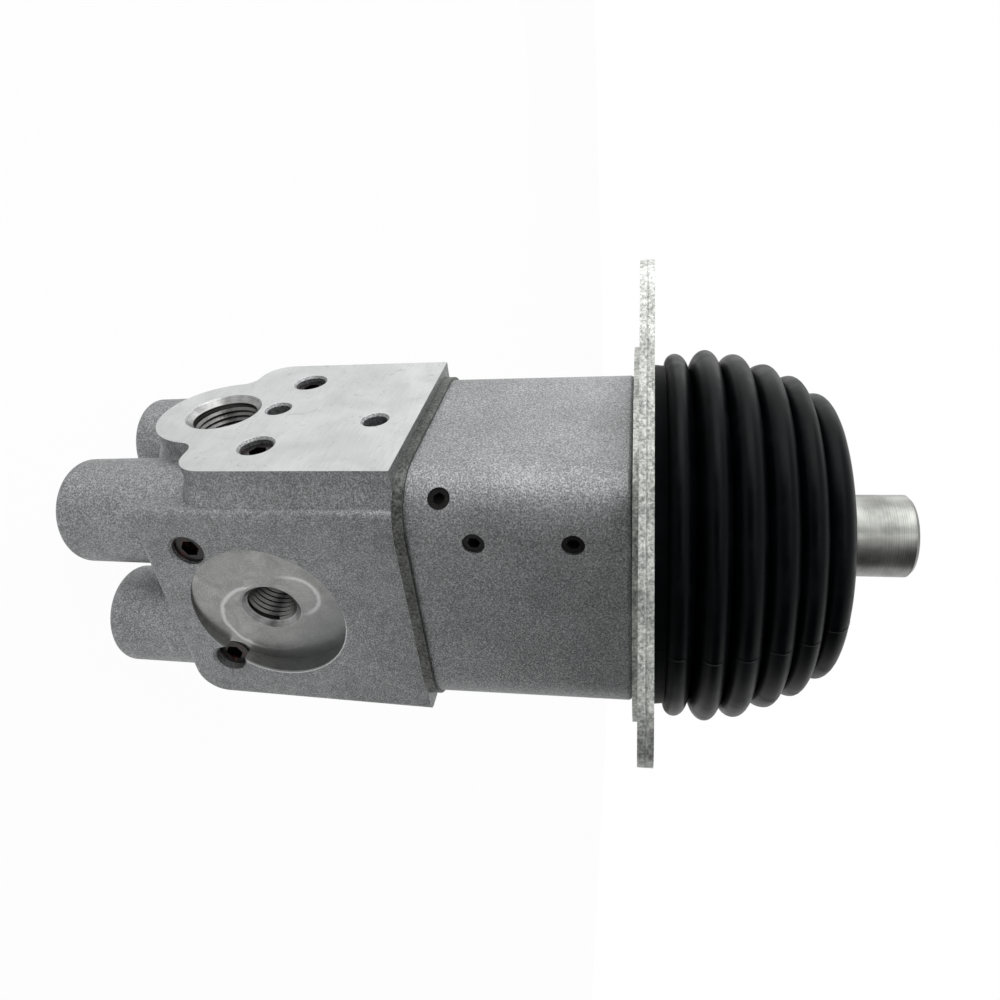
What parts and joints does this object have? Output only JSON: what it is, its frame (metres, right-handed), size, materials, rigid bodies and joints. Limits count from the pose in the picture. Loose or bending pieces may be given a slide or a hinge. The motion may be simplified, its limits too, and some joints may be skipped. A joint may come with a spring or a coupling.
{
  "type": "hydraulic pilot joystick valve",
  "caption": "Pilot-pressure joystick valve: a sprung lever on a universal joint tilts a swash plate over plungers and spools in a ported aluminium body, under a ribbed boot.",
  "frame": {"origin": "on the lever's axis at the underside of the mounting plate", "axes": "+Z along the lever out of the boot; +X out of the machined port pad; +Y out of the face with the side port"},
  "size_m": [0.1388, 0.1388, 0.2045],
  "materials": {
    "cast_aluminium": "shot-blasted casting",
    "zinc_plate": "bright zinc plate",
    "turned_steel": "turned",
    "inner_steel": "machined",
    "spring_steel": "oiled",
    "black_screws": "black oxide",
    "boot_rubber": "satin moulded rubber",
    "seal_rubber": "nitrile"
  },
  "bodies": {
    "valve": {"mounting_plate": "zinc_plate", "retainer_disc": "zinc_plate", "plate_screws": "black_screws", "valve_body": "cast_aluminium", "pad_plugs": "black_screws", "side_plugs": "black_screws", "sealing_plate": "zinc_plate", "upper_housing": "cast_aluminium", "body_screws": "black_screws", "housing_set_screws": "black_screws", "joint_pillar": "inner_steel", "boot_ring": "zinc_plate", "boot": "boot_rubber", "guide_bush_1": "inner_steel", "guide_bush_2": "inner_steel", "guide_bush_3": "inner_steel", "guide_bush_4": "inner_steel", "rod_seal_1": "seal_rubber", "rod_seal_2": "seal_rubber", "rod_seal_3": "seal_rubber", "rod_seal_4": "seal_rubber", "bush_oring_1": "seal_rubber", "bush_oring_2": "seal_rubber", "bush_oring_3": "seal_rubber", "bush_oring_4": "seal_rubber", "return_spring_1": "spring_steel", "return_spring_2": "spring_steel", "return_spring_3": "spring_steel", "return_spring_4": "spring_steel"},
    "cross": {"joint_cross": "inner_steel", "long_pin": "inner_steel", "short_pins": "inner_steel"},
    "lever": {"yoke": "inner_steel", "swash_plate": "inner_steel", "lock_nut": "inner_steel", "lever_shaft": "turned_steel"},
    "plunger_1": {"plunger_1": "inner_steel", "spring_seat_1": "inner_steel"},
    "spool_1": {"spool_1": "inner_steel"},
    "plunger_2": {"plunger_2": "inner_steel", "spring_seat_2": "inner_steel"},
    "spool_2": {"spool_2": "inner_steel"},
    "plunger_3": {"plunger_3": "inner_steel", "spring_seat_3": "inner_steel"},
    "spool_3": {"spool_3": "inner_steel"},
    "plunger_4": {"plunger_4": "inner_steel", "spring_seat_4": "inner_steel"},
    "spool_4": {"spool_4": "inner_steel"}
  },
  "joints": [
    {"name": "tilt_first", "type": "hinge", "parent": "valve", "child": "cross", "pos_m": [0, 0, 0.014], "axis": [-0.7071, 0.7071, 0], "range_deg": [-18, 18], "stiffness_Nm_per_rad": 2, "deforming": ["boot"]},
    {"name": "tilt_second", "type": "hinge", "parent": "cross", "child": "lever", "pos_m": [0, 0, 0.014], "axis": [0.7071, 0.7071, 0], "range_deg": [-18, 18], "stiffness_Nm_per_rad": 2},
    {"name": "plunger_1_slide", "type": "slide", "parent": "valve", "child": "plunger_1", "axis": [0, 0, 1], "range_m": [-0.00811, 0.00811], "deforming": ["return_spring_1"]},
    {"name": "plunger_2_slide", "type": "slide", "parent": "valve", "child": "plunger_2", "axis": [0, 0, 1], "range_m": [-0.00811, 0.00811], "deforming": ["return_spring_2"]},
    {"name": "plunger_3_slide", "type": "slide", "parent": "valve", "child": "plunger_3", "axis": [0, 0, 1], "range_m": [-0.00811, 0.00811], "deforming": ["return_spring_3"]},
    {"name": "plunger_4_slide", "type": "slide", "parent": "valve", "child": "plunger_4", "axis": [0, 0, 1], "range_m": [-0.00811, 0.00811], "deforming": ["return_spring_4"]},
    {"name": "spool_1_slide", "type": "slide", "parent": "valve", "child": "spool_1", "axis": [0, 0, 1], "range_m": [-0.00163, 0.00163]},
    {"name": "spool_2_slide", "type": "slide", "parent": "valve", "child": "spool_2", "axis": [0, 0, 1], "range_m": [-0.00163, 0.00163]},
    {"name": "spool_3_slide", "type": "slide", "parent": "valve", "child": "spool_3", "axis": [0, 0, 1], "range_m": [-0.00163, 0.00163]},
    {"name": "spool_4_slide", "type": "slide", "parent": "valve", "child": "spool_4", "axis": [0, 0, 1], "range_m": [-0.00163, 0.00163]}
  ],
  "couplings": [
    {"joint": "plunger_1_slide", "follows": "tilt_first", "m_per_rad": -0.025743},
    {"joint": "plunger_2_slide", "follows": "tilt_first", "m_per_rad": 0.025743},
    {"joint": "plunger_3_slide", "follows": "tilt_second", "m_per_rad": -0.025743},
    {"joint": "plunger_4_slide", "follows": "tilt_second", "m_per_rad": 0.025743},
    {"joint": "spool_1_slide", "follows": "tilt_first", "m_per_rad": -0.0051485},
    {"joint": "spool_2_slide", "follows": "tilt_first", "m_per_rad": 0.0051485},
    {"joint": "spool_3_slide", "follows": "tilt_second", "m_per_rad": -0.0051485},
    {"joint": "spool_4_slide", "follows": "tilt_second", "m_per_rad": 0.0051485}
  ]
}
